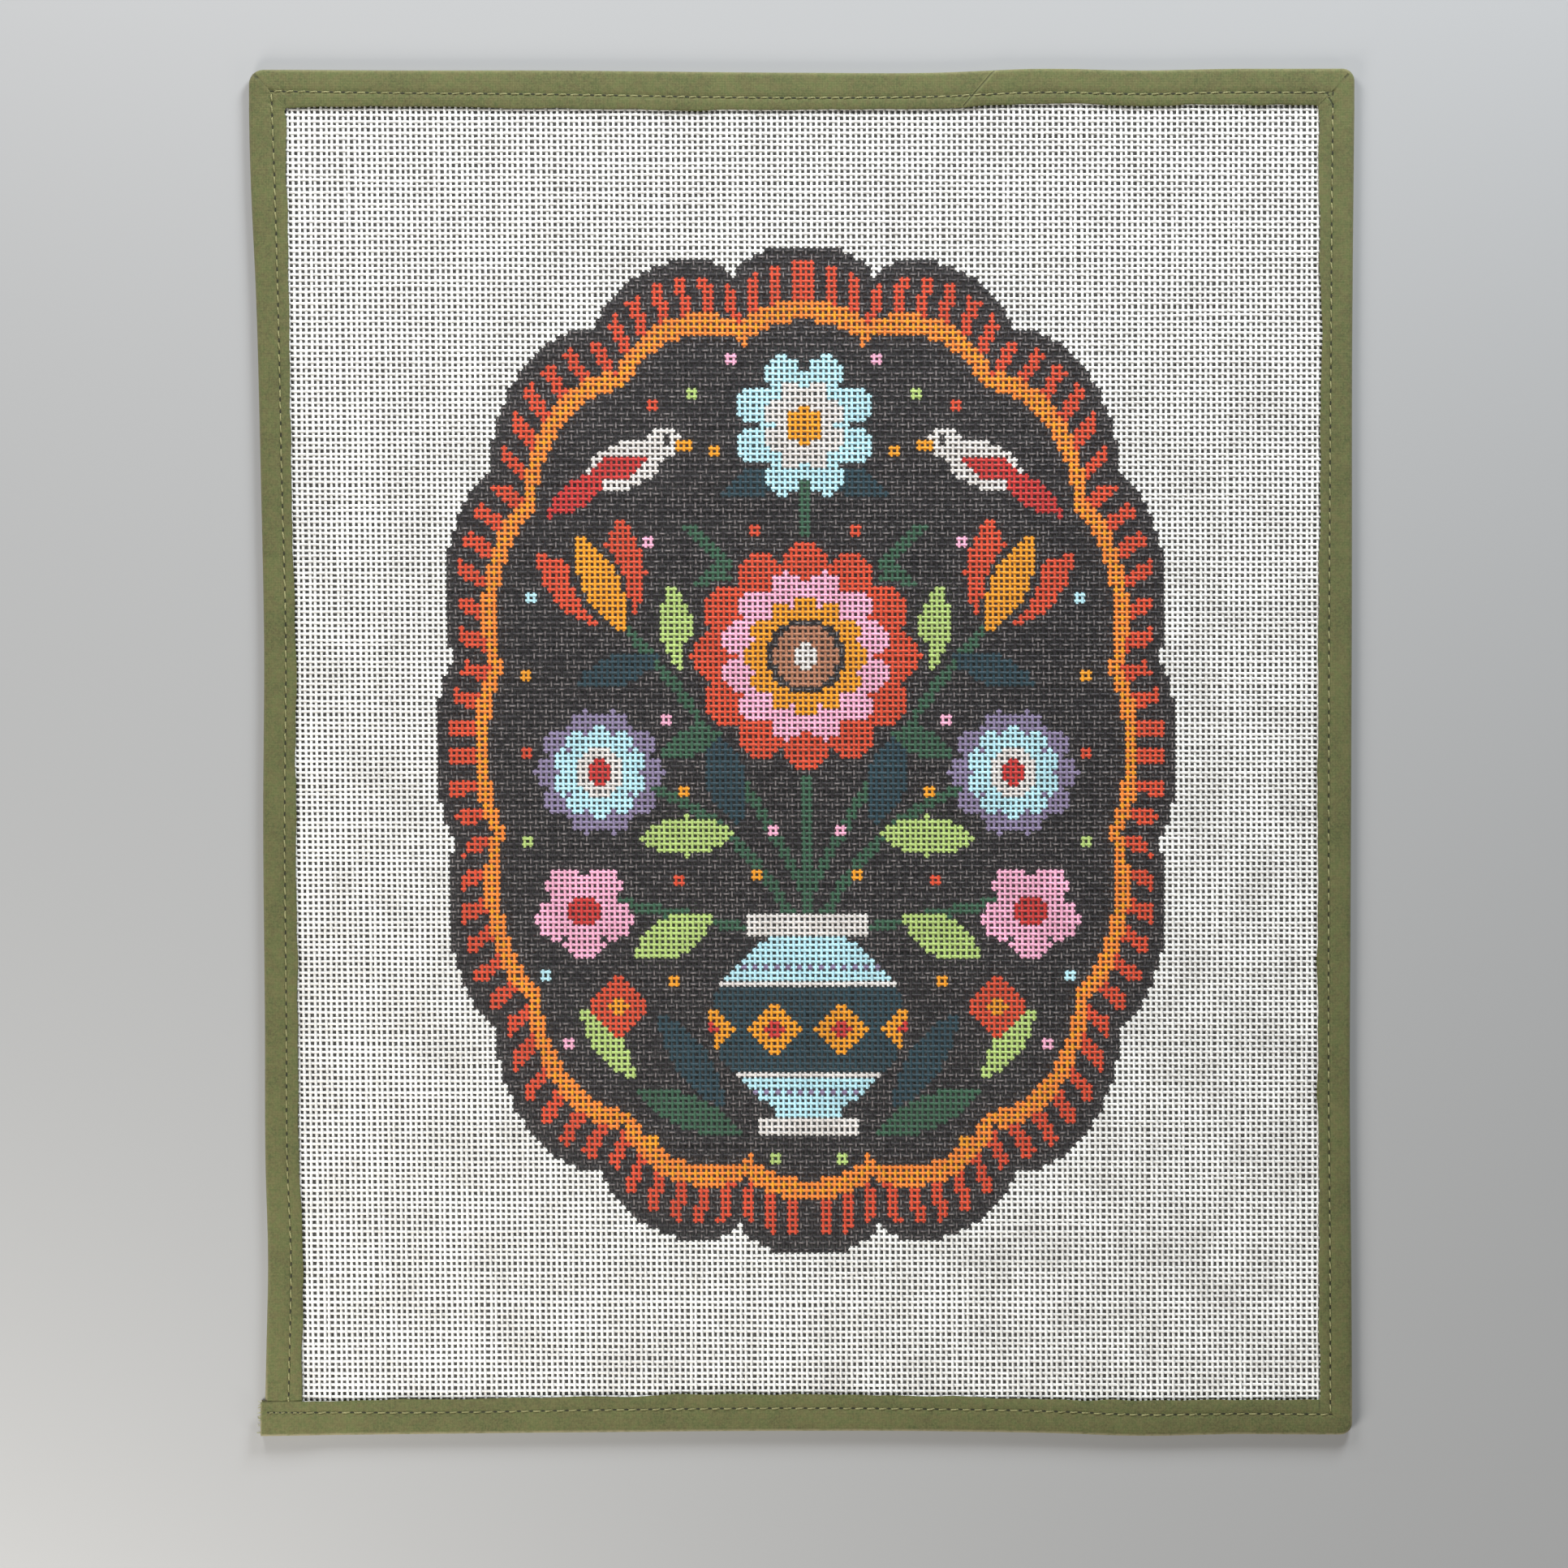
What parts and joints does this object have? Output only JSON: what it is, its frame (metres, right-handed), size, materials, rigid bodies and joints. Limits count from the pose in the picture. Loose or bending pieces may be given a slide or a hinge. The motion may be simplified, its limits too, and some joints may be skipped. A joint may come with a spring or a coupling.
{
  "type": "needlepoint canvas panel",
  "caption": "Flat needlepoint canvas panel with its edge bound in folded tape, ready to be worked or framed.",
  "frame": {"origin": "middle of the rectangle that the panel covers, on the surface it lies on", "axes": "+Z out of the panel's face, +Y along its long side towards the top of the design, +X to the right seen from above"},
  "size_m": [0.3822, 0.4728, 0.0038],
  "materials": {
    "canvas": "matt sized cotton threads, painted",
    "binding": "matt plain-weave cotton tape"
  },
  "bodies": {
    "root": {"canvas": "canvas", "binding": "binding"}
  },
  "joints": []
}
